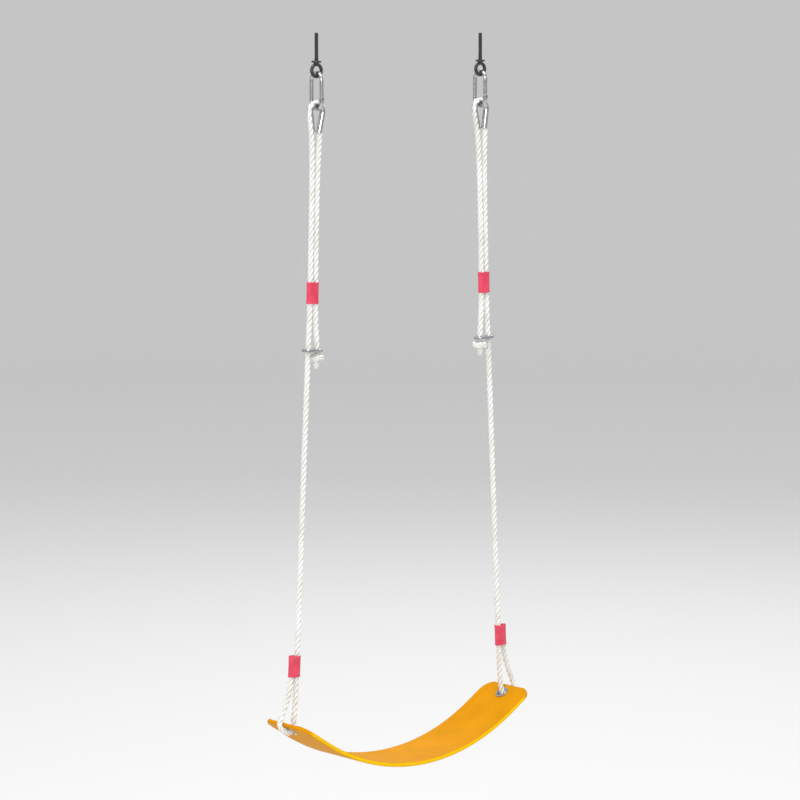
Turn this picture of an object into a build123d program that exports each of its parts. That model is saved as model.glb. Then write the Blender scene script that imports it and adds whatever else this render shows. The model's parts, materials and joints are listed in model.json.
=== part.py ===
"""A belt swing seat on two ropes, hung from two screw eyes by snap hooks.

Frame: millimetres, +Z up, origin on the underside of the beam midway between the two
screw eyes. X runs along the beam from the left eye to the right eye, and the seat
swings along Y. Everything is drawn for the right-hand side and mirrored to the left.
"""

from build123d import *
import math
import os

# Hanging points
hanger_spacing = 430.0
stud_diameter = 8.0
stud_length = 55.0
collar_diameter = 20.0
collar_thickness = 4.0
eye_wire = 7.0
eye_bore = 17.0

# Snap hooks
hook_wire = 8.0
hook_length = 80.0
hook_width = 40.0
hook_rest_gap = 0.3
gate_tongue = 3.0
gate_side_gap = 0.3
gate_pin_diameter = 3.0
gate_pin_gap = 0.05
gate_pivot_rise = 2.0
gate_knuckle = 3.9
gate_lap = 6.0
nose_drop = 3.0
spring_wire = 0.6
spring_coil = 2.4
spring_length = 9.0

# Ropes
rope_diameter = 12.0
rope_splay = 2.78
eye_bend = 16.5
belt_bend = 12.0
thimble_wall = 1.2
thimble_gap = 0.3
thimble_leg = 58.0
thimble_rest_gap = 0.3

# Red sleeves that bind two strands side by side
strand_pitch = 12.4
sleeve_wall = 1.6
sleeve_gap = 0.3
sleeve_length = 43.0
upper_sleeve_depth = 376.0
upper_sleeve_shift = -6.72
upper_sleeve_lean = -1.29
lower_sleeve_depth = 1125.0

# Length adjuster and stopper knot
adjuster_depth = 491.0
adjuster_pitch = 23.1
adjuster_width = 24.0
adjuster_thickness = 6.0
adjuster_hole_gap = 0.6
knot_radius = 15.0
knot_gap = 0.2
knot_depth = 505.0

# Belt
belt_width = 140.0
belt_thickness = 8.0
belt_corner = 30.0
belt_edge_round = 1.5
belt_hole_spread = 67.5
belt_hole_drop = 1251.1
belt_hole_inset = 26.0
belt_end_slope = 33.0
belt_straight_end = 72.5
eyelet_bore = 20.0
eyelet_wall = 1.5
eyelet_flange = 29.0
eyelet_flange_thickness = 1.2
eyelet_gap = 0.1

# Places that follow from the sizes above
hanger_x = hanger_spacing / 2
eye_radius = (eye_bore + eye_wire) / 2
eye_z = -collar_thickness - eye_radius - eye_wire / 2
swing_axis_z = eye_z - eye_radius
hook_bend = (hook_width - hook_wire) / 2
hook_top_z = swing_axis_z + eye_wire / 2 + hook_wire / 2 + hook_rest_gap
hook_bottom_z = hook_top_z - (hook_length - hook_wire)
hook_low_centre = hook_bottom_z + hook_bend
hook_high_centre = hook_top_z - hook_bend
thimble_radius = rope_diameter / 2 + thimble_gap + thimble_wall
rope_axis_z = hook_bottom_z + hook_wire / 2 + thimble_rest_gap + thimble_radius
gate_y = -hook_bend
gate_pivot_z = hook_low_centre + gate_pivot_rise
nose_z = hook_high_centre - nose_drop
lap_z = nose_z - gate_lap
belt_hole_x = hanger_x + belt_hole_spread
belt_hole_z = rope_axis_z - belt_hole_drop

# Rope route on the right-hand side, seen from the front: (outward, up) from the top
# of the rope's eye, measured square to and along the splayed rope. It starts at the
# end inside the lower sleeve, goes round the belt's end, up to the eye on the hook,
# and back down to the stopper knot.
rope_route = [
    (12.4, -1111.0),
    (12.4, -1169.0),
    (31.7, -1218.7),
    (42.1, -1247.1),
    (13.2, -1263.9),
    (2.2, -1245.1),
    (0.0, -1169.0),
    (0.0, -495.0),
    (-1.4, -415.0),
    (6.2, -78.0),
    (18.8, -9.0),
    (0.0, 3.4),
    (-18.8, -9.0),
    (-6.2, -78.0),
    (-13.8, -415.0),
    (-22.9, -485.0),
    (-23.4, -505.0),
    (-23.0, -527.0),
]
# Corners that are as tight as what the rope goes round, and their bend
tight_bends = {3: belt_bend, 4: belt_bend, 10: eye_bend, 11: eye_bend, 12: eye_bend}


def bend_radii(points, tight):
    """Each corner's arc: as large as its runs allow, or the size of what it goes round."""
    radii = []
    for index in range(1, len(points) - 1):
        before = Vector(*points[index]) - Vector(*points[index - 1])
        after = Vector(*points[index + 1]) - Vector(*points[index])
        half_turn = math.radians(before.get_angle(after)) / 2
        fitted = 0.45 * min(before.length, after.length) / math.tan(half_turn)
        radii.append(tight.get(index, fitted))
    return radii


def in_rope_plane(points):
    """Route points put on the X-Z plane."""
    return [(x, 0.0, z) for x, z in points]


def swept(path, section):
    """Sweep a section along a path that lies in an upright plane."""
    return sweep(Plane(origin=path @ 0, z_dir=path % 0) * section, path=path)


def on_rope(depth=0.0, shift=0.0, lean=0.0):
    """A place on the right-hand rope, at a depth below the top of its eye."""
    top_of_eye = Location((hanger_x, 0, rope_axis_z)) * Location((0, 0, 0), (0, -rope_splay, 0))
    return top_of_eye * Location((shift, 0, -depth)) * Location((0, 0, 0), (0, -lean, 0))


def on_belt_end():
    """The frame on the belt's right-hand hole: X to the tip, Z out of the top face."""
    return Location((belt_hole_x, 0, belt_hole_z)) * Location((0, 0, 0), (0, -belt_end_slope, 0))


def make_eye_bolt():
    """A black screw eye: a shank that goes up into the beam, a collar and a closed ring."""
    shank = Cylinder(stud_diameter / 2, stud_length, align=(Align.CENTER, Align.CENTER, Align.MIN))
    shank = chamfer(shank.edges().group_by(Axis.Z)[-1], 1.0)
    below = (Align.CENTER, Align.CENTER, Align.MAX)
    collar = Cylinder(collar_diameter / 2, collar_thickness, align=below)
    collar = chamfer(collar.edges().group_by(Axis.Z)[0], 0.8)
    neck = Pos(0, 0, -collar_thickness / 2) * Cone(
        eye_wire / 2, collar_diameter / 3, collar_thickness / 2 + eye_wire * 0.6, align=below
    )
    ring = Pos(0, 0, eye_z) * Rotation(90, 0, 0) * Torus(eye_radius, eye_wire / 2)
    return Pos(hanger_x, 0, 0) * (shank + collar + neck + ring)


def across_hook(radius, thickness, y, z):
    """A disc or pin that lies across the hook's plane."""
    return Pos(0, y, z) * Rotation(0, 90, 0) * Cylinder(radius, thickness)


def make_snap_hook():
    """The hook's wire: an oval in the Y-Z plane, open along its front where the gate is."""
    low_bow = ThreePointArc(
        (0, gate_y, hook_low_centre), (0, 0, hook_bottom_z), (0, hook_bend, hook_low_centre)
    )
    spine = Line((0, hook_bend, hook_low_centre), (0, hook_bend, hook_high_centre))
    high_bow = ThreePointArc(
        (0, hook_bend, hook_high_centre), (0, 0, hook_top_z), (0, gate_y, hook_high_centre)
    )
    nose = Line((0, gate_y, hook_high_centre), (0, gate_y, lap_z))
    body = swept(Wire([low_bow, spine, high_bow, nose]), Circle(hook_wire / 2))
    # Room for the gate's rounded knuckle, leaving a flat tongue for it to turn on
    knuckle_room = across_hook(gate_knuckle + gate_side_gap, hook_wire * 2, gate_y, gate_pivot_z)
    tongue = across_hook(gate_knuckle - gate_side_gap, gate_tongue, gate_y, gate_pivot_z)
    stem = Pos(0, gate_y, gate_pivot_z) * Box(
        gate_tongue, 2 * (gate_knuckle - gate_side_gap), gate_knuckle + 2.0,
        align=(Align.CENTER, Align.CENTER, Align.MAX),
    )
    body = body - knuckle_room + tongue + stem
    body = body - across_hook(gate_pin_diameter / 2, hook_wire * 2, gate_y, gate_pivot_z)
    # The nose keeps only its outer half, which the gate closes against from inside
    inner_half = Pos(0, gate_y - gate_side_gap / 2, lap_z - 1.0) * Box(
        hook_wire * 2, hook_wire, gate_lap + 1.0, align=(Align.CENTER, Align.MIN, Align.MIN)
    )
    return Pos(hanger_x, 0, 0) * (body - inner_half)


def make_gate():
    """The sprung bar that closes the hook, forked at its foot and lapped at its tip."""
    tip_z = nose_z - gate_side_gap
    bar = Pos(0, gate_y, gate_pivot_z) * Cylinder(
        hook_wire / 2, tip_z - gate_pivot_z, align=(Align.CENTER, Align.CENTER, Align.MIN)
    )
    knuckle = across_hook(gate_knuckle, hook_wire, gate_y, gate_pivot_z)
    slot_width = gate_tongue + 2 * gate_side_gap
    slot = Pos(0, gate_y, gate_pivot_z + gate_knuckle + gate_side_gap) * Box(
        slot_width, hook_wire * 2, 4 * gate_knuckle, align=(Align.CENTER, Align.CENTER, Align.MAX)
    )
    outer_half = Pos(0, gate_y + gate_side_gap / 2, lap_z - gate_side_gap) * Box(
        hook_wire * 2, hook_wire, gate_lap + 1.0, align=(Align.CENTER, Align.MAX, Align.MIN)
    )
    spring_room = Pos(0, gate_y, gate_pivot_z + gate_knuckle) * Cylinder(
        spring_coil / 2 + spring_wire, spring_length + 1.0,
        align=(Align.CENTER, Align.CENTER, Align.MIN),
    )
    pin_hole = across_hook(
        gate_pin_diameter / 2 + gate_pin_gap, hook_wire * 2, gate_y, gate_pivot_z
    )
    gate = bar + knuckle - slot - outer_half - spring_room - pin_hole
    return Pos(hanger_x, 0, 0) * gate


def make_gate_pin():
    """The riveted pin, fixed in the hook's tongue, that the gate turns on."""
    return Pos(hanger_x, 0, 0) * across_hook(
        gate_pin_diameter / 2, hook_wire + 0.8, gate_y, gate_pivot_z
    )


def make_gate_spring():
    """The coil inside the gate that pushes it shut against the tongue."""
    turns = 5
    pitch = (spring_length - spring_wire) / turns
    coil = Helix(pitch, pitch * turns, spring_coil / 2)
    spring = sweep(Plane(origin=coil @ 0, z_dir=coil % 0) * Circle(spring_wire / 2), path=coil)
    foot = gate_pivot_z + gate_knuckle + gate_side_gap + spring_wire / 2 + 0.2
    return Pos(hanger_x, gate_y, foot) * spring


def make_thimble():
    """A galvanised gutter that lines the inside of the rope's eye."""
    leg_x = eye_leg_x(thimble_leg)
    points = [(leg_x, -thimble_leg)] + rope_route[10:13] + [(-leg_x, -thimble_leg)]
    path = FilletPolyline(*in_rope_plane(points), radius=[eye_bend] * 3)
    inner = rope_diameter / 2 + thimble_gap
    gutter = Circle(thimble_radius) - Circle(inner)
    # Only the half that faces the inside of the eye is kept
    inside_half = Pos(-thimble_radius, 0) * Rectangle(2 * thimble_radius, 4 * thimble_radius)
    start = Plane(origin=path @ 0, x_dir=(1, 0, 0), z_dir=path % 0)
    thimble = sweep(start * (gutter & inside_half), path=path)
    return on_rope() * thimble


def eye_leg_x(depth):
    """How far out the rope's eye is, at a depth on its straight legs."""
    throat_x, throat_z = rope_route[9]
    shoulder_x, shoulder_z = rope_route[10]
    return throat_x + (shoulder_x - throat_x) * (-depth - throat_z) / (shoulder_z - throat_z)


def make_rope():
    """One length of rope: belt loop, main run, eye and adjustable tail."""
    radii = bend_radii(rope_route, tight_bends)
    print("rope bends, mm:", [round(radius) for radius in radii])
    path = FilletPolyline(*in_rope_plane(rope_route), radius=radii)
    rope = swept(path, Circle(rope_diameter / 2))
    expected = math.pi * rope_diameter**2 / 4 * path.length
    print(f"rope length {path.length:.0f} mm, volume / (section x length) {rope.volume / expected:.4f}")
    return on_rope() * rope


def flat_oval(width, thickness, height):
    """An upright bar with half-round sides, centred on the origin."""
    return extrude(SlotOverall(width, thickness), amount=height / 2, both=True)


def make_sleeve(depth, shift, lean):
    """A flat-oval plastic sleeve round two strands of the rope."""
    inner_thickness = rope_diameter + 2 * sleeve_gap
    inner_width = strand_pitch + inner_thickness
    shell = flat_oval(inner_width + 2 * sleeve_wall, inner_thickness + 2 * sleeve_wall, sleeve_length)
    shell = fillet(shell.edges().group_by(Axis.Z)[0] + shell.edges().group_by(Axis.Z)[-1], 0.7)
    shell = shell - flat_oval(inner_width, inner_thickness, sleeve_length * 2)
    return on_rope(depth, shift, lean) * shell


def make_adjuster():
    """The two-holed plate that the main run and the tail pass through."""
    hole = rope_diameter / 2 + adjuster_hole_gap
    plate = flat_oval(adjuster_pitch + adjuster_width, adjuster_width, adjuster_thickness)
    plate = fillet(plate.edges().group_by(Axis.Z)[0] + plate.edges().group_by(Axis.Z)[-1], 1.5)
    for side in (-1, 1):
        plate = plate - Pos(side * adjuster_pitch / 2, 0, 0) * Cylinder(hole, adjuster_thickness * 2)
    return on_rope(adjuster_depth, -adjuster_pitch / 2) * plate


def make_stop_knot():
    """The turns of the overhand knot on the tail that holds the adjuster."""
    turns_radius = (knot_radius - rope_diameter / 2 - knot_gap) / 2
    turns = Torus(knot_radius - turns_radius, turns_radius)
    upper = Pos(0, 0, 0.7 * turns_radius) * turns
    lower = Pos(0, 0, -0.7 * turns_radius) * turns
    return on_rope(knot_depth, rope_route[-2][0]) * (upper + lower)


def belt_centreline():
    """The belt's hang: straight ends on the ropes' slope and one round sag between."""
    slope = math.radians(belt_end_slope)
    tip_x = belt_hole_x + belt_hole_inset * math.cos(slope)
    tip_z = belt_hole_z + belt_hole_inset * math.sin(slope)
    knee_x = tip_x - belt_straight_end * math.cos(slope)
    knee_z = tip_z - belt_straight_end * math.sin(slope)
    arc_radius = knee_x / math.sin(slope)
    low_z = knee_z - arc_radius * (1 - math.cos(slope))
    flat_length = 2 * (belt_straight_end + arc_radius * slope)
    print(f"belt {flat_length:.1f} mm long when flat, arc {arc_radius:.0f} mm, lowest {low_z:.0f} mm")
    return [
        Line((-tip_x, 0, tip_z), (-knee_x, 0, knee_z)),
        ThreePointArc((-knee_x, 0, knee_z), (0, 0, low_z), (knee_x, 0, knee_z)),
        Line((knee_x, 0, knee_z), (tip_x, 0, tip_z)),
    ]


def make_belt():
    """The flexible belt: a flat strip with round corners, hanging in its U."""
    path = Wire(belt_centreline())
    start = Plane(origin=path @ 0, x_dir=(0, 1, 0), z_dir=path % 0)
    strip = sweep(start * RectangleRounded(belt_width, belt_thickness, belt_edge_round), path=path)
    half_width = belt_width / 2
    outline = RectangleRounded(4 * belt_corner, belt_width, belt_corner)
    square_end = Pos(belt_corner, 0) * Rectangle(2 * belt_corner, belt_width + 20)
    trim_plate = square_end - (Pos(-belt_corner, 0) * outline)
    tip = on_belt_end() * Pos(belt_hole_inset - belt_corner, 0, 0)
    trim = tip * extrude(trim_plate, amount=3 * belt_thickness, both=True)
    hole_radius = eyelet_bore / 2 + eyelet_wall + eyelet_gap
    hole = on_belt_end() * Cylinder(hole_radius, 4 * belt_thickness)
    belt = strip - trim - mirror(trim, about=Plane.YZ)
    return belt - hole - mirror(hole, about=Plane.YZ)


def flange(outer, inner, z, upward):
    """A flat ring on the belt's face, rounded at its outer edge."""
    align = (Align.CENTER, Align.CENTER, Align.MIN if upward else Align.MAX)
    ring = Pos(0, 0, z) * Cylinder(outer, eyelet_flange_thickness, align=align)
    outer_edge = ring.edges().group_by(Axis.Z)[-1 if upward else 0]
    ring = fillet(outer_edge, 0.6)
    return ring - Cylinder(inner, 8 * belt_thickness)


def make_eyelet():
    """The metal tube and top flange that line the belt's rope hole."""
    barrel_radius = eyelet_bore / 2 + eyelet_wall
    top = belt_thickness / 2 + eyelet_gap
    barrel = Cylinder(barrel_radius, 2 * top + 2 * eyelet_flange_thickness)
    barrel = barrel - Cylinder(eyelet_bore / 2, 8 * belt_thickness)
    return on_belt_end() * (barrel + flange(eyelet_flange / 2, eyelet_bore / 2, top, True))


def make_eyelet_washer():
    """The ring under the belt that the eyelet's barrel is spread over."""
    barrel_radius = eyelet_bore / 2 + eyelet_wall
    low = -belt_thickness / 2 - eyelet_gap
    return on_belt_end() * flange(eyelet_flange / 2, barrel_radius + 0.05, low, False)


right_hand_pieces = {
    "eye_bolt": make_eye_bolt(),
    "snap_hook": make_snap_hook(),
    "gate": make_gate(),
    "gate_pin": make_gate_pin(),
    "gate_spring": make_gate_spring(),
    "thimble": make_thimble(),
    "rope": make_rope(),
    "upper_sleeve": make_sleeve(upper_sleeve_depth, upper_sleeve_shift, upper_sleeve_lean),
    "adjuster": make_adjuster(),
    "stop_knot": make_stop_knot(),
    "lower_sleeve": make_sleeve(lower_sleeve_depth, strand_pitch / 2, 0.0),
    "eyelet": make_eyelet(),
    "eyelet_washer": make_eyelet_washer(),
}

os.makedirs("parts", exist_ok=True)
for name, piece in right_hand_pieces.items():
    export_step(piece, f"parts/right_{name}.step")
    export_step(mirror(piece, about=Plane.YZ), f"parts/left_{name}.step")
export_step(make_belt(), "parts/belt.step")
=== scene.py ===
"""The looks of the belt swing seat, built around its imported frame. Lengths are in metres."""

import json
import math

import bpy
from mathutils import Matrix, Vector, noise


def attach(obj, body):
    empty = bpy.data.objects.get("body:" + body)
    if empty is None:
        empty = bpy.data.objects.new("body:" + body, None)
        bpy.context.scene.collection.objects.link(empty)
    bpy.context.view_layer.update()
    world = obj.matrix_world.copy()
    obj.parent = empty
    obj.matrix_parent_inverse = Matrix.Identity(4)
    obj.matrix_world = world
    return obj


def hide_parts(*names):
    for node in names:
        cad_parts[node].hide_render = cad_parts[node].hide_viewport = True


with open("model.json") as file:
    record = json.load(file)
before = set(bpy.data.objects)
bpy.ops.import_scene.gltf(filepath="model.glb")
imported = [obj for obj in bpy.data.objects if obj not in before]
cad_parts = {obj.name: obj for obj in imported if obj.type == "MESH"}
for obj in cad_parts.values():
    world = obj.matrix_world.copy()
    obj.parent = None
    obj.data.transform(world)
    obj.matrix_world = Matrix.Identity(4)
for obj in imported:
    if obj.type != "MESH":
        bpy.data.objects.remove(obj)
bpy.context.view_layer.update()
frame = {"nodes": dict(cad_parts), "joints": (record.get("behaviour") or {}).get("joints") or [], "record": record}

MM = 0.001
record = frame["record"]
joints = {joint["name"]: joint for joint in frame["joints"]}
hanger_x = record["mounts"][0]["dims"]["pcd_mm"] / 2 * MM
rope_axis_z = joints["rope_pivot"]["pos_m"][2]
belt_hole_z = joints["seat_tilt"]["pos_m"][2]
SIDES = {"left": -1, "right": 1}

# Sizes of the pieces that are drawn here, the same as the frame's
ROPE_DIAMETER = 12 * MM
ROPE_SPLAY = math.radians(2.78)
ROPE_LAY = 38 * MM
STRAND_PITCH = 12.4 * MM
SLEEVE_LENGTH = 43 * MM
SLEEVE_OUTER = 7.9 * MM
SLEEVE_INNER = 6.3 * MM
UPPER_SLEEVE = (376 * MM, -6.72 * MM, math.radians(-1.29))
LOWER_SLEEVE = (1125 * MM, STRAND_PITCH / 2, 0.0)
KNOT_DEPTH = 505 * MM
KNOT_SHIFT = -23.4 * MM
KNOT_RADIUS = 15 * MM
BELT_WIDTH = 140 * MM
BELT_THICKNESS = 8 * MM
BELT_CORNER = 30 * MM
BELT_HOLE_X = 282.5 * MM
BELT_HOLE_INSET = 26 * MM
BELT_SLOPE = math.radians(33)
BELT_STRAIGHT_END = 72.5 * MM
BELT_HOLE_RADIUS = 11.6 * MM
STUD_RADIUS = 4 * MM
STUD_LENGTH = 55 * MM
THREAD_PITCH = 1.25 * MM
COLLAR_RADIUS = 10 * MM
COLLAR_THICKNESS = 4 * MM
EYE_WIRE_RADIUS = 3.5 * MM
EYE_RADIUS = 12 * MM

# The rope's route on the right, as in the frame: (outward, up) from the top of its eye
ROPE_ROUTE = [
    (12.4, -1111.0),
    (12.4, -1169.0),
    (31.7, -1218.7),
    (42.1, -1247.1),
    (13.2, -1263.9),
    (2.2, -1245.1),
    (0.0, -1169.0),
    (0.0, -495.0),
    (-1.4, -415.0),
    (6.2, -78.0),
    (18.8, -9.0),
    (0.0, 3.4),
    (-18.8, -9.0),
    (-6.2, -78.0),
    (-13.8, -415.0),
    (-22.9, -485.0),
    (-23.4, -505.0),
    (-23.0, -527.0),
]


# ---------------------------------------------------------------- helpers

def rope_place(depth=0.0, shift=0.0, lean=0.0):
    """The matrix of a place on the right-hand rope, at a depth below its eye's top."""
    top = Matrix.Translation((hanger_x, 0, rope_axis_z)) @ Matrix.Rotation(-ROPE_SPLAY, 4, "Y")
    return top @ Matrix.Translation((shift, 0, -depth)) @ Matrix.Rotation(-lean, 4, "Y")


def mirrored(side):
    """Carries a right-hand place over to the given side."""
    return Matrix.Diagonal((side, 1, 1, 1))


def new_mesh(name, vertices, faces, side=1):
    """A smooth-shaded mesh object; faces of a mirrored piece are turned round."""
    if side < 0:
        faces = [tuple(reversed(face)) for face in faces]
    mesh = bpy.data.meshes.new(name)
    mesh.from_pydata([tuple(v) for v in vertices], [], faces)
    mesh.update()
    mesh.shade_smooth()
    piece = bpy.data.objects.new(name, mesh)
    bpy.context.scene.collection.objects.link(piece)
    return piece


def grid_faces(rows, columns, start=0):
    """Faces of a grid that closes round each row."""
    faces = []
    for i in range(rows - 1):
        for j in range(columns):
            k = (j + 1) % columns
            a = start + i * columns
            b = a + columns
            faces.append((a + j, a + k, b + k, b + j))
    return faces


def apply_modifiers(piece):
    """Bakes a piece's modifiers into its mesh."""
    graph = bpy.context.evaluated_depsgraph_get()
    done = bpy.data.meshes.new_from_object(piece.evaluated_get(graph))
    piece.modifiers.clear()
    piece.data = done


# ---------------------------------------------------------------- materials

# The colour sockets of a Mix node set to RGBA
MIX_A, MIX_B, MIX_RESULT = 6, 7, 2


def node_material(name):
    """An empty node material, its shader and a helper that adds nodes to it."""
    material = bpy.data.materials.new(name)
    material.use_nodes = True
    tree = material.node_tree
    shader = tree.nodes["Principled BSDF"]

    def add(kind, **settings):
        node = tree.nodes.new(kind)
        for key, value in settings.items():
            if key in node.inputs:
                node.inputs[key].default_value = value
            else:
                setattr(node, key, value)
        return node

    return material, tree.links.new, shader, add


def ramp_between(add, link, factor, low, high, low_at=0.3, high_at=0.7):
    """Turns a factor into a colour between two colours."""
    ramp = add("ShaderNodeValToRGB")
    ramp.color_ramp.elements[0].position = low_at
    ramp.color_ramp.elements[0].color = (*low, 1)
    ramp.color_ramp.elements[1].position = high_at
    ramp.color_ramp.elements[1].color = (*high, 1)
    link(factor, ramp.inputs["Fac"])
    return ramp.outputs["Color"]


def spread(add, link, factor, low, high):
    """Maps a factor from 0 to 1 on to a range of numbers."""
    span = add("ShaderNodeMapRange")
    span.inputs["To Min"].default_value = low
    span.inputs["To Max"].default_value = high
    link(factor, span.inputs["Value"])
    return span.outputs["Result"]


def belt_material():
    """Yellow-orange flexible plastic with a fine moulded grain, faint scuffs and a painted highlight on its thin
    side walls.
    """
    material, link, shader, add = node_material("yellow_belt_plastic")
    place = add("ShaderNodeTexCoord")
    cloud = add("ShaderNodeTexNoise", Scale=14.0, Detail=5.0, Roughness=0.6)
    link(place.outputs["Object"], cloud.inputs["Vector"])
    colour = ramp_between(
        add, link, cloud.outputs["Fac"], (0.60, 0.248, 0.001), (0.69, 0.287, 0.002)
    )
    # Painted highlight: the thin side walls let more light through, so the glow is painted into the base colour as
    # a lighter yellow
    split = add("ShaderNodeSeparateXYZ")
    link(place.outputs["Object"], split.inputs["Vector"])
    across = add("ShaderNodeMath", operation="ABSOLUTE")
    link(split.outputs["Y"], across.inputs[0])
    edge = add("ShaderNodeMapRange")
    edge.inputs["From Min"].default_value = BELT_WIDTH / 2 - 2.4 * MM
    edge.inputs["From Max"].default_value = BELT_WIDTH / 2 - 0.4 * MM
    link(across.outputs["Value"], edge.inputs["Value"])
    painted_edge_glow = add("ShaderNodeMix", data_type="RGBA")
    # Colour of the painted edge highlight
    painted_edge_glow.inputs[MIX_B].default_value = (0.86, 0.52, 0.004, 1)
    link(edge.outputs["Result"], painted_edge_glow.inputs["Factor"])
    link(colour, painted_edge_glow.inputs[MIX_A])
    link(painted_edge_glow.outputs[MIX_RESULT], shader.inputs["Base Color"])
    grain = add("ShaderNodeTexVoronoi", Scale=900.0)
    link(place.outputs["Object"], grain.inputs["Vector"])
    scuff = add("ShaderNodeTexNoise", Scale=120.0, Detail=8.0, Roughness=0.7)
    link(place.outputs["Object"], scuff.inputs["Vector"])
    link(spread(add, link, scuff.outputs["Fac"], 0.34, 0.62), shader.inputs["Roughness"])
    grain_bump = add("ShaderNodeBump", Strength=0.28, Distance=0.00012)
    link(grain.outputs["Distance"], grain_bump.inputs["Height"])
    wave_bump = add("ShaderNodeBump", Strength=0.25, Distance=0.0012)
    link(cloud.outputs["Fac"], wave_bump.inputs["Height"])
    link(grain_bump.outputs["Normal"], wave_bump.inputs["Normal"])
    link(wave_bump.outputs["Normal"], shader.inputs["Normal"])
    shader.inputs["Subsurface Weight"].default_value = 0.12
    shader.inputs["Subsurface Radius"].default_value = (0.006, 0.003, 0.001)
    shader.inputs["IOR"].default_value = 1.25
    shader.inputs["Specular IOR Level"].default_value = 0.1
    return material


def rope_material():
    """Off-white synthetic rope: fine fibres along each strand and grey dirt in the lays."""
    material, link, shader, add = node_material("white_rope_fibre")
    along = add("ShaderNodeUVMap", uv_map="along_strand")
    stretch = add("ShaderNodeMapping")
    stretch.inputs["Scale"].default_value = (26.0, 2.2, 1.0)
    link(along.outputs["UV"], stretch.inputs["Vector"])
    fibre = add("ShaderNodeTexNoise", Scale=2.6, Detail=6.0, Roughness=0.7)
    link(stretch.outputs["Vector"], fibre.inputs["Vector"])
    place = add("ShaderNodeTexCoord")
    dirt = add("ShaderNodeTexNoise", Scale=22.0, Detail=6.0, Roughness=0.65)
    link(place.outputs["Object"], dirt.inputs["Vector"])
    clean = ramp_between(
        add, link, fibre.outputs["Fac"], (0.70, 0.69, 0.66), (0.90, 0.90, 0.88), 0.32, 0.6
    )
    worn = add("ShaderNodeMix", data_type="RGBA", blend_type="MULTIPLY")
    tint = ramp_between(
        add, link, dirt.outputs["Fac"], (0.86, 0.85, 0.81), (1.0, 1.0, 1.0), 0.36, 0.58
    )
    worn.inputs["Factor"].default_value = 1.0
    link(clean, worn.inputs[MIX_A])
    link(tint, worn.inputs[MIX_B])
    link(worn.outputs[MIX_RESULT], shader.inputs["Base Color"])
    bump = add("ShaderNodeBump", Strength=0.55, Distance=0.0005)
    link(fibre.outputs["Fac"], bump.inputs["Height"])
    link(bump.outputs["Normal"], shader.inputs["Normal"])
    shader.inputs["Roughness"].default_value = 0.72
    shader.inputs["Sheen Weight"].default_value = 0.35
    shader.inputs["Sheen Roughness"].default_value = 0.4
    return material


def sleeve_material():
    """Soft red plastic: slightly glossy, a little translucent, faintly rubbed."""
    material, link, shader, add = node_material("red_sleeve_plastic")
    place = add("ShaderNodeTexCoord")
    cloud = add("ShaderNodeTexNoise", Scale=60.0, Detail=5.0, Roughness=0.6)
    link(place.outputs["Object"], cloud.inputs["Vector"])
    colour = ramp_between(
        add, link, cloud.outputs["Fac"], (0.62, 0.030, 0.075), (0.80, 0.060, 0.125)
    )
    link(colour, shader.inputs["Base Color"])
    link(spread(add, link, cloud.outputs["Fac"], 0.24, 0.42), shader.inputs["Roughness"])
    bump = add("ShaderNodeBump", Strength=0.25, Distance=0.0004)
    link(cloud.outputs["Fac"], bump.inputs["Height"])
    link(bump.outputs["Normal"], shader.inputs["Normal"])
    shader.inputs["Subsurface Weight"].default_value = 0.15
    shader.inputs["Subsurface Radius"].default_value = (0.004, 0.001, 0.001)
    shader.inputs["Coat Weight"].default_value = 0.25
    shader.inputs["Coat Roughness"].default_value = 0.2
    return material


def steel_material(name, dark, light, rough_low, rough_high, spangle_and_reflection_scale):
    """Plated steel with faint spangle, scratches and duller patches; the darker spangle cells are also painted
    dark reflections.
    """
    material, link, shader, add = node_material(name)
    place = add("ShaderNodeTexCoord")
    patch = add("ShaderNodeTexVoronoi", Scale=spangle_and_reflection_scale)
    link(place.outputs["Object"], patch.inputs["Vector"])
    haze = add("ShaderNodeTexNoise", Scale=90.0, Detail=8.0, Roughness=0.65)
    link(place.outputs["Object"], haze.inputs["Vector"])
    # Base colour: zinc spangle cells, darkened well below the plate's own tone as painted dark reflections
    link(
        ramp_between(add, link, patch.outputs["Distance"], dark, light, 0.1, 0.9),
        shader.inputs["Base Color"],
    )
    link(
        spread(add, link, haze.outputs["Fac"], rough_low, rough_high), shader.inputs["Roughness"]
    )
    scratch_place = add("ShaderNodeMapping")
    scratch_place.inputs["Scale"].default_value = (1.0, 1.0, 12.0)
    link(place.outputs["Object"], scratch_place.inputs["Vector"])
    scratch = add("ShaderNodeTexNoise", Scale=420.0, Detail=4.0)
    link(scratch_place.outputs["Vector"], scratch.inputs["Vector"])
    bump = add("ShaderNodeBump", Strength=0.12, Distance=0.0003)
    link(scratch.outputs["Fac"], bump.inputs["Height"])
    link(bump.outputs["Normal"], shader.inputs["Normal"])
    shader.inputs["Metallic"].default_value = 1.0
    return material


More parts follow.
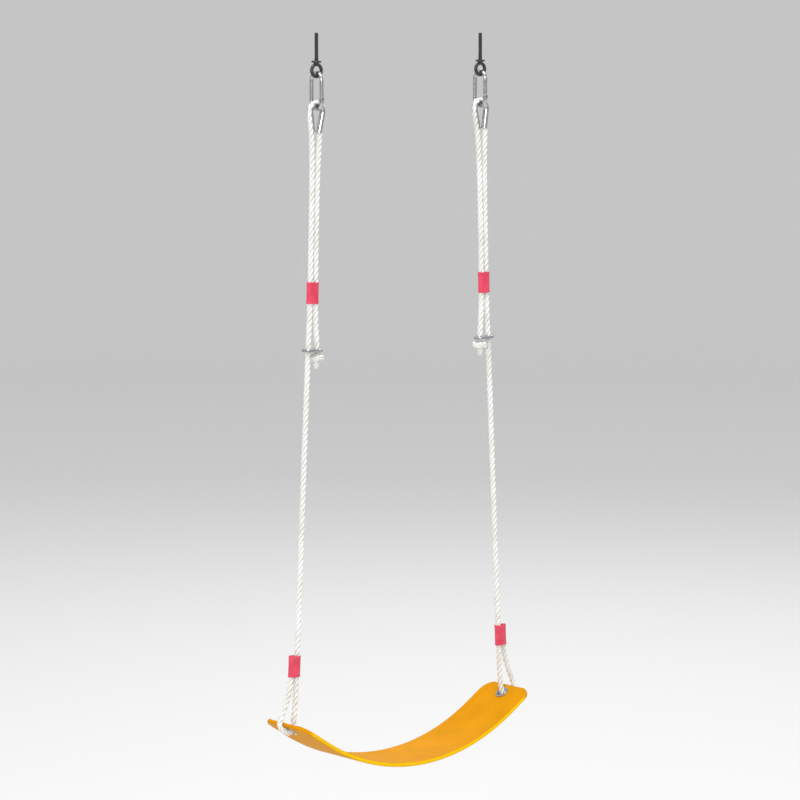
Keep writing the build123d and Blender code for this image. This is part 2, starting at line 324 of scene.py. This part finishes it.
def hanger_material():
    """Black coated steel, with a soft orange-peel skin and greyer rubbed spots."""
    material, link, shader, add = node_material("black_coated_steel")
    place = add("ShaderNodeTexCoord")
    peel = add("ShaderNodeTexNoise", Scale=650.0, Detail=3.0)
    link(place.outputs["Object"], peel.inputs["Vector"])
    rub = add("ShaderNodeTexNoise", Scale=160.0, Detail=7.0, Roughness=0.7)
    link(place.outputs["Object"], rub.inputs["Vector"])
    link(
        ramp_between(
            add, link, rub.outputs["Fac"], (0.010, 0.010, 0.011), (0.055, 0.055, 0.058), 0.45, 0.75
        ),
        shader.inputs["Base Color"],
    )
    link(spread(add, link, rub.outputs["Fac"], 0.28, 0.55), shader.inputs["Roughness"])
    bump = add("ShaderNodeBump", Strength=0.2, Distance=0.0002)
    link(peel.outputs["Fac"], bump.inputs["Height"])
    link(bump.outputs["Normal"], shader.inputs["Normal"])
    shader.inputs["Coat Weight"].default_value = 0.3
    shader.inputs["Coat Roughness"].default_value = 0.3
    return material


MATERIALS = {
    "yellow_belt": belt_material(),
    "white_rope": rope_material(),
    "red_sleeve": sleeve_material(),
    # The darker of the two zinc colours is partly painted dark reflection
    "zinc_steel": steel_material(
        "bright_zinc_plate", (0.34, 0.35, 0.37), (0.62, 0.63, 0.64), 0.12, 0.28, 260.0
    ),
    "hanger_black": hanger_material(),
}


def dress(piece, slot):
    """Gives a piece the material of the given slot."""
    piece.data.materials.clear()
    piece.data.materials.append(MATERIALS[slot])


# ---------------------------------------------------------------- ropes

def rope_spline(name, side):
    """The rope's smooth line, with the route's points as its control points."""
    data = bpy.data.curves.new(name, "CURVE")
    data.dimensions = "3D"
    spline = data.splines.new("NURBS")
    spline.points.add(len(ROPE_ROUTE) - 1)
    for point, (out, up) in zip(spline.points, ROPE_ROUTE):
        spot = mirrored(side) @ rope_place() @ Vector((out * MM, 0, up * MM))
        point.co = (*spot, 1)
    spline.order_u = 3
    spline.use_endpoint_u = True
    spline.resolution_u = 32
    line = bpy.data.objects.new(name, data)
    bpy.context.scene.collection.objects.link(line)
    graph = bpy.context.evaluated_depsgraph_get()
    mesh = bpy.data.meshes.new_from_object(line.evaluated_get(graph))
    points = [vertex.co.copy() for vertex in mesh.vertices]
    bpy.data.meshes.remove(mesh)
    bpy.data.objects.remove(line)
    bpy.data.curves.remove(data)
    return points


def evenly_spaced(points, step):
    """Points at equal distances along a line of points."""
    spaced = [points[0].copy()]
    carried = 0.0
    for a, b in zip(points, points[1:]):
        length = (b - a).length
        at = step - carried
        while at <= length:
            spaced.append(a.lerp(b, at / length))
            at += step
        carried = length - (at - step)
    spaced.append(points[-1].copy())
    return spaced


def line_frames(points):
    """A pair of square directions at each point, carried along without twist."""
    frames = []
    side = Vector((0, 1, 0))
    for i, point in enumerate(points):
        ahead = points[min(i + 1, len(points) - 1)] - points[max(i - 1, 0)]
        tangent = ahead.normalized()
        side = (side - tangent * side.dot(tangent)).normalized()
        frames.append((point, side.copy(), tangent.cross(side), tangent))
    return frames


def laid_rope(name, points, diameter, lay, strand_sides=18, step=2.4 * MM):
    """Three strands laid round a line, each grooved by its own yarns."""
    strand = diameter / 4
    frames = line_frames(evenly_spaced(points, step))
    vertices, faces, uvs = [], [], []
    yarns = 5
    for k in range(3):
        start = len(vertices)
        for i, (point, side, up, _) in enumerate(frames):
            travelled = i * step
            turn = 2 * math.pi * (travelled / lay + k / 3)
            centre = point + strand * (side * math.cos(turn) + up * math.sin(turn))
            yarn_turn = -2 * math.pi * travelled / (lay * 0.55)
            for j in range(strand_sides):
                angle = turn + 2 * math.pi * j / strand_sides
                groove = 0.5 + 0.5 * math.cos(yarns * (angle - turn) + yarn_turn)
                radius = strand * (0.93 + 0.07 * groove)
                vertices.append(
                    centre + radius * (side * math.cos(angle) + up * math.sin(angle))
                )
                uvs.append((j / strand_sides + k, travelled / (0.4 * lay)))
        faces += grid_faces(len(frames), strand_sides, start)
        last = start + (len(frames) - 1) * strand_sides
        faces.append(tuple(range(start + strand_sides - 1, start - 1, -1)))
        faces.append(tuple(range(last, last + strand_sides)))
    piece = new_mesh(name, vertices, [tuple(reversed(face)) for face in faces])
    layer = piece.data.uv_layers.new(name="along_strand")
    for loop in piece.data.loops:
        layer.data[loop.index].uv = uvs[loop.vertex_index]
    return piece


def make_rope(side_name):
    side = SIDES[side_name]
    line = rope_spline(f"{side_name}_rope_line", side)
    rope = laid_rope(f"{side_name}_laid_rope", line, ROPE_DIAMETER, ROPE_LAY)
    dress(rope, "white_rope")
    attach(rope, "ropes")
    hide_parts(f"{side_name}_rope")
    return rope, line


def make_knot(side_name):
    """The turns of the tail's stopper knot, pulled tight under the adjuster."""
    side = SIDES[side_name]
    place = mirrored(side) @ rope_place(KNOT_DEPTH, KNOT_SHIFT)
    turn_radius = KNOT_RADIUS - ROPE_DIAMETER / 4 - 1.0 * MM
    rise = 8.4 * MM
    turns = 2.25
    count = 96
    points = []
    for i in range(count + 1):
        t = i / count
        angle = 2 * math.pi * turns * t
        tucked = min(1.0, 7 * t, 7 * (1 - t))
        radius = turn_radius * (0.35 + 0.65 * tucked)
        wobble = 0.8 * MM * math.sin(3 * angle)
        height = rise * (0.5 - t) + wobble
        points.append(place @ Vector((radius * math.cos(angle), radius * math.sin(angle), height)))
    knot = laid_rope(
        f"{side_name}_tail_knot", points, 8.4 * MM, 26 * MM, strand_sides=14, step=1.2 * MM
    )
    dress(knot, "white_rope")
    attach(knot, "ropes")
    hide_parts(f"{side_name}_stop_knot")
    return knot


# ---------------------------------------------------------------- sleeves

def stadium(angle, radius):
    """A point on a flat oval round the two strands."""
    x = radius * math.cos(angle)
    y = radius * math.sin(angle)
    shift = STRAND_PITCH / 2
    # The flats are spread evenly where the angle passes the oval's two faces
    lean = max(-1.0, min(1.0, 1.6 * math.cos(angle)))
    return x + shift * lean, y


def make_sleeve(side_name, level, place_on_rope):
    """A flat-oval sleeve with rolled ends, slightly shrunk on to the strands."""
    side = SIDES[side_name]
    columns = 72
    half = SLEEVE_LENGTH / 2
    lip = 1.1 * MM
    wall = [(-half + 1.5 * MM, SLEEVE_INNER), (-half + 0.35 * MM, SLEEVE_INNER + 0.15 * MM)]
    for i in range(7):
        roll = math.pi * i / 6
        height = -half + lip - lip * math.sin(roll)
        wall.append((height, SLEEVE_OUTER - lip + lip * -math.cos(roll)))
    rows = 26
    for i in range(rows + 1):
        t = i / rows
        height = -half + 2.6 * lip + t * (SLEEVE_LENGTH - 5.2 * lip)
        waist = 0.55 * MM + 0.22 * MM * math.sin(math.pi * t)
        wall.append((height, SLEEVE_OUTER - waist))
    for i in range(7):
        roll = math.pi * i / 6
        wall.append((half - lip + lip * math.sin(roll), SLEEVE_OUTER - lip + lip * math.cos(roll)))
    wall += [(half - 0.35 * MM, SLEEVE_INNER + 0.15 * MM), (half - 1.5 * MM, SLEEVE_INNER)]
    place = mirrored(side) @ rope_place(*place_on_rope)
    vertices = []
    for height, radius in wall:
        for j in range(columns):
            angle = 2 * math.pi * j / columns
            soft = 0.12 * MM * noise.noise(Vector((angle * 2, height * 160, level)))
            x, y = stadium(angle, radius + (soft if radius > SLEEVE_INNER + lip else 0))
            vertices.append(place @ Vector((x, y, height)))
    faces = grid_faces(len(wall), columns)
    inside = (len(wall) - 1) * columns
    for j in range(columns):
        k = (j + 1) % columns
        faces.append((inside + j, inside + k, k, j))
    name = ("upper" if level else "lower") + "_sleeve"
    sleeve = new_mesh(f"{side_name}_{name}_shell", vertices, faces, side)
    dress(sleeve, "red_sleeve")
    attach(sleeve, "ropes")
    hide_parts(f"{side_name}_{name}")
    return sleeve


# ---------------------------------------------------------------- screw eyes

def lathe(profile, columns=40):
    """Vertices and faces of a profile of (radius, height) turned round Z, closed at both ends."""
    vertices = []
    for radius, height in profile:
        for j in range(columns):
            angle = 2 * math.pi * j / columns
            vertices.append(Vector((radius * math.cos(angle), radius * math.sin(angle), height)))
    faces = grid_faces(len(profile), columns)
    faces.append(tuple(range(columns - 1, -1, -1)))
    last = (len(profile) - 1) * columns
    faces.append(tuple(range(last, last + columns)))
    return vertices, faces


def make_forged_eye(side_name):
    """The collar, neck and ring, melted together with soft fillets as forged."""
    side = SIDES[side_name]
    eye_z = -COLLAR_THICKNESS - EYE_RADIUS - EYE_WIRE_RADIUS
    collar = [
        (0.5 * MM, -COLLAR_THICKNESS - 6 * MM),
        (3.0 * MM, -COLLAR_THICKNESS - 5 * MM),
        (4.2 * MM, -COLLAR_THICKNESS - 2 * MM),
        (6.4 * MM, -COLLAR_THICKNESS + 0.2 * MM),
        (COLLAR_RADIUS - 0.8 * MM, -COLLAR_THICKNESS + 0.1 * MM),
        (COLLAR_RADIUS, -COLLAR_THICKNESS + 0.9 * MM),
        (COLLAR_RADIUS, -0.3 * MM),
        (COLLAR_RADIUS - 0.3 * MM, -0.05 * MM),
        (STUD_RADIUS, -0.05 * MM),
    ]
    vertices, faces = lathe(collar, 48)
    around, across = 72, 24
    start = len(vertices)
    for i in range(around):
        turn = 2 * math.pi * i / around
        out = Vector((math.cos(turn), 0, math.sin(turn)))
        for j in range(across):
            angle = 2 * math.pi * j / across
            swing = out * (EYE_RADIUS + EYE_WIRE_RADIUS * math.cos(angle))
            vertices.append(swing + Vector((0, EYE_WIRE_RADIUS * math.sin(angle), eye_z)))
    for i in range(around):
        n = (i + 1) % around
        for j in range(across):
            k = (j + 1) % across
            faces.append((
                start + i * across + j, start + i * across + k,
                start + n * across + k, start + n * across + j,
            ))
    place = Matrix.Translation((side * hanger_x, 0, 0))
    eye = new_mesh(f"{side_name}_forged_eye", [place @ v for v in vertices], faces)
    remesh = eye.modifiers.new("melt", "REMESH")
    remesh.mode = "VOXEL"
    remesh.voxel_size = 0.55 * MM
    remesh.use_smooth_shade = True
    soften = eye.modifiers.new("soften", "SMOOTH")
    soften.iterations = 5
    apply_modifiers(eye)
    return eye


def make_threaded_shank(side_name):
    """The shank that goes up into the beam, with its rolled thread."""
    side = SIDES[side_name]
    columns = 36
    rows_per_turn = 8
    plain = 3.0 * MM
    rows = round((STUD_LENGTH - plain) / THREAD_PITCH * rows_per_turn)
    vertices = []
    for i in range(rows + 1):
        height = plain + (STUD_LENGTH - plain) * i / rows
        run_in = min(1.0, (height - plain) / (2 * THREAD_PITCH))
        taper = max(0.0, height - (STUD_LENGTH - 1.2 * MM))
        for j in range(columns):
            phase = (height / THREAD_PITCH - j / columns) % 1.0
            valley = 1 - abs(2 * phase - 1)
            radius = STUD_RADIUS - 0.62 * MM * run_in * min(1.0, 1.25 * valley) - taper
            angle = 2 * math.pi * j / columns
            vertices.append(
                Vector((radius * math.cos(angle), radius * math.sin(angle), height))
            )
    foot = []
    for radius, height in ((STUD_RADIUS, -1 * MM), (STUD_RADIUS, plain - 0.2 * MM)):
        for j in range(columns):
            angle = 2 * math.pi * j / columns
            foot.append(Vector((radius * math.cos(angle), radius * math.sin(angle), height)))
    vertices = foot + vertices
    faces = grid_faces(rows + 3, columns)
    last = (rows + 2) * columns
    faces.append(tuple(range(columns - 1, -1, -1)))
    faces.append(tuple(range(last, last + columns)))
    place = Matrix.Translation((side * hanger_x, 0, 0))
    return new_mesh(f"{side_name}_threaded_shank", [place @ v for v in vertices], faces)


def make_screw_eye(side_name):
    for piece in (make_forged_eye(side_name), make_threaded_shank(side_name)):
        dress(piece, "hanger_black")
        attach(piece, "hangers")
        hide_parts(f"{side_name}_eye_bolt")


# ---------------------------------------------------------------- belt

def belt_curve():
    """Sag radius, half of the flat length and the knee of the belt's hang."""
    rest = BELT_STRAIGHT_END - BELT_HOLE_INSET
    knee = (
        BELT_HOLE_X - rest * math.cos(BELT_SLOPE),
        belt_hole_z - rest * math.sin(BELT_SLOPE),
    )
    radius = knee[0] / math.sin(BELT_SLOPE)
    return radius, BELT_STRAIGHT_END + radius * BELT_SLOPE, knee


def belt_point(along, lift):
    """A point on the belt's centreline, along from its middle and lifted off it."""
    radius, _, (knee_x, knee_z) = belt_curve()
    side = -1 if along < 0 else 1
    distance = abs(along)
    arc = radius * BELT_SLOPE
    centre_z = knee_z + radius * math.cos(BELT_SLOPE)
    if distance <= arc:
        turn = distance / radius
        x = (radius - lift) * math.sin(turn)
        z = centre_z - (radius - lift) * math.cos(turn)
    else:
        rest = distance - arc
        x = knee_x + rest * math.cos(BELT_SLOPE) - lift * math.sin(BELT_SLOPE)
        z = knee_z + rest * math.sin(BELT_SLOPE) + lift * math.cos(BELT_SLOPE)
    return side * x, z


def belt_section(half_width, half_height):
    """The belt's section: a flat strip with round edges and a low bead beside each."""
    edge = min(2.6 * MM, half_height)
    bead_in = 7.0 * MM
    bead_rise = 0.9 * MM * min(1.0, half_height / (BELT_THICKNESS / 2))
    points = []
    flats = 26
    for i in range(flats + 1):
        across = -half_width + edge + (2 * half_width - 2 * edge) * i / flats
        from_edge = half_width - abs(across)
        bead = max(0.0, 1 - abs(from_edge - bead_in / 2) / (bead_in / 2))
        points.append((across, half_height - bead_rise + bead_rise * min(1.0, 1.6 * bead)))
    for i in range(1, 6):
        turn = math.pi / 2 - math.pi * i / 6
        height = (half_height - 0.3 * MM) * math.sin(turn)
        points.append((half_width - edge + edge * math.cos(turn), height))
    for i in range(flats + 1):
        across = half_width - edge - (2 * half_width - 2 * edge) * i / flats
        points.append((across, -half_height))
    for i in range(1, 6):
        turn = -math.pi / 2 - math.pi * i / 6
        height = (half_height - 0.3 * MM) * math.sin(turn)
        points.append((-half_width + edge + edge * math.cos(turn), height))
    return points


def make_belt():
    """The moulded belt, hanging in its U, with round corners and two punched holes."""
    _, half, _ = belt_curve()
    tip_round = 2.6 * MM
    stations = []
    for i in range(16):
        stations.append(BELT_CORNER * (1 - math.cos(math.pi / 2 * i / 16)))
    inner = 70
    for i in range(inner + 1):
        stations.append(BELT_CORNER + (half - BELT_CORNER) * i / inner)
    rows = [-half + d for d in stations] + [half - d for d in reversed(stations[:-1])]
    vertices = []
    for along in rows:
        distance = half - abs(along)
        inset = max(0.0, BELT_CORNER - distance)
        half_width = BELT_WIDTH / 2 - BELT_CORNER + math.sqrt(BELT_CORNER**2 - inset**2)
        thin = max(0.0, tip_round - distance)
        half_height = BELT_THICKNESS / 2 - tip_round + math.sqrt(tip_round**2 - thin**2)
        for across, lift in belt_section(half_width, half_height):
            x, z = belt_point(along, lift)
            vertices.append(Vector((x, across, z)))
    columns = len(vertices) // len(rows)
    faces = grid_faces(len(rows), columns)
    last = (len(rows) - 1) * columns
    faces.append(tuple(range(columns - 1, -1, -1)))
    faces.append(tuple(range(last, last + columns)))
    belt = new_mesh("belt_strip", vertices, faces)
    for side in SIDES.values():
        punch = belt_punch(side)
        cut = belt.modifiers.new("hole", "BOOLEAN")
        cut.operation = "DIFFERENCE"
        cut.solver = "EXACT"
        cut.object = punch
        apply_modifiers(belt)
        bpy.data.objects.remove(punch)
    dress(belt, "yellow_belt")
    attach(belt, "seat")
    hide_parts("belt")
    return belt


def belt_punch(side):
    """A round punch across the belt at one of its holes."""
    vertices, faces = lathe([(BELT_HOLE_RADIUS, -12 * MM), (BELT_HOLE_RADIUS, 12 * MM)], 48)
    place = Matrix.Translation((BELT_HOLE_X, 0, belt_hole_z)) @ Matrix.Rotation(-BELT_SLOPE, 4, "Y")
    return new_mesh("punch", [mirrored(side) @ place @ v for v in vertices], faces, side)


# ---------------------------------------------------------------- assembly

make_belt()
for side_name in SIDES:
    make_screw_eye(side_name)
    lower = make_sleeve(side_name, 0, LOWER_SLEEVE)
    upper = make_sleeve(side_name, 1, UPPER_SLEEVE)
    knot = make_knot(side_name)
    rope, line = make_rope(side_name)
    for node in ("snap_hook", "gate", "gate_pin", "gate_spring", "thimble", "adjuster",
                 "eyelet", "eyelet_washer"):
        dress(frame["nodes"][f"{side_name}_{node}"], "zinc_steel")


# ---------------------------------------------------------------- floor, light, camera

def make_floor():
    """A pale round floor that curves up into a low rim far from the swing on all sides."""
    floor_z = -1.9
    flat, bend, columns = 12.0, 5.0, 96
    profile = [(2.0, floor_z), (flat, floor_z)]
    for i in range(1, 17):
        turn = math.pi / 2 * i / 16
        profile.append((flat + bend * math.sin(turn), floor_z + bend * (1 - math.cos(turn))))
    vertices = []
    for radius, z in profile:
        for j in range(columns):
            angle = 2 * math.pi * j / columns
            vertices.append(Vector((radius * math.cos(angle), radius * math.sin(angle), z)))
    faces = [tuple(reversed(face)) for face in grid_faces(len(profile), columns)]
    faces.append(tuple(range(columns)))
    floor = new_mesh("studio_floor", vertices, faces)
    material, link, shader, add = node_material("pale_floor")
    shader.inputs["Base Color"].default_value = (0.80, 0.80, 0.80, 1)
    shader.inputs["Roughness"].default_value = 0.9
    floor.data.materials.append(material)


def aim(thing, target):
    """Turns a light or the camera to look at a point."""
    thing.rotation_euler = (Vector(target) - thing.location).to_track_quat("-Z", "Y").to_euler()


def make_light(name, place, size, power):
    data = bpy.data.lights.new(name, "AREA")
    data.shape = "DISK"
    data.size = size
    data.energy = power
    light = bpy.data.objects.new(name, data)
    light.location = place
    bpy.context.scene.collection.objects.link(light)
    aim(light, (0, 0, -0.8))


SEAT_VIEW_POINT = (0, 0, -0.69)

make_floor()
make_light("overhead_softbox", (-1.2, -1.5, 4.2), 2.6, 170)
make_light("camera_side_fill", (-4.6, -4.0, 1.4), 2.0, 130)
make_light("back_rim", (3.4, 3.0, 2.6), 2.0, 70)

world = bpy.data.worlds.new("studio")
world.use_nodes = True
world.node_tree.nodes["Background"].inputs["Color"].default_value = (1.0, 1.0, 1.0, 1)
world.node_tree.nodes["Background"].inputs["Strength"].default_value = 0.68
bpy.context.scene.world = world
bpy.context.scene.view_settings.view_transform = "Standard"

camera_data = bpy.data.cameras.new("camera")
camera_data.lens = 150
camera_data.sensor_width = 36
camera = bpy.data.objects.new("camera", camera_data)
camera.location = (-4.33, -5.19, 0.06)
bpy.context.scene.collection.objects.link(camera)
aim(camera, SEAT_VIEW_POINT)
bpy.context.scene.camera = camera
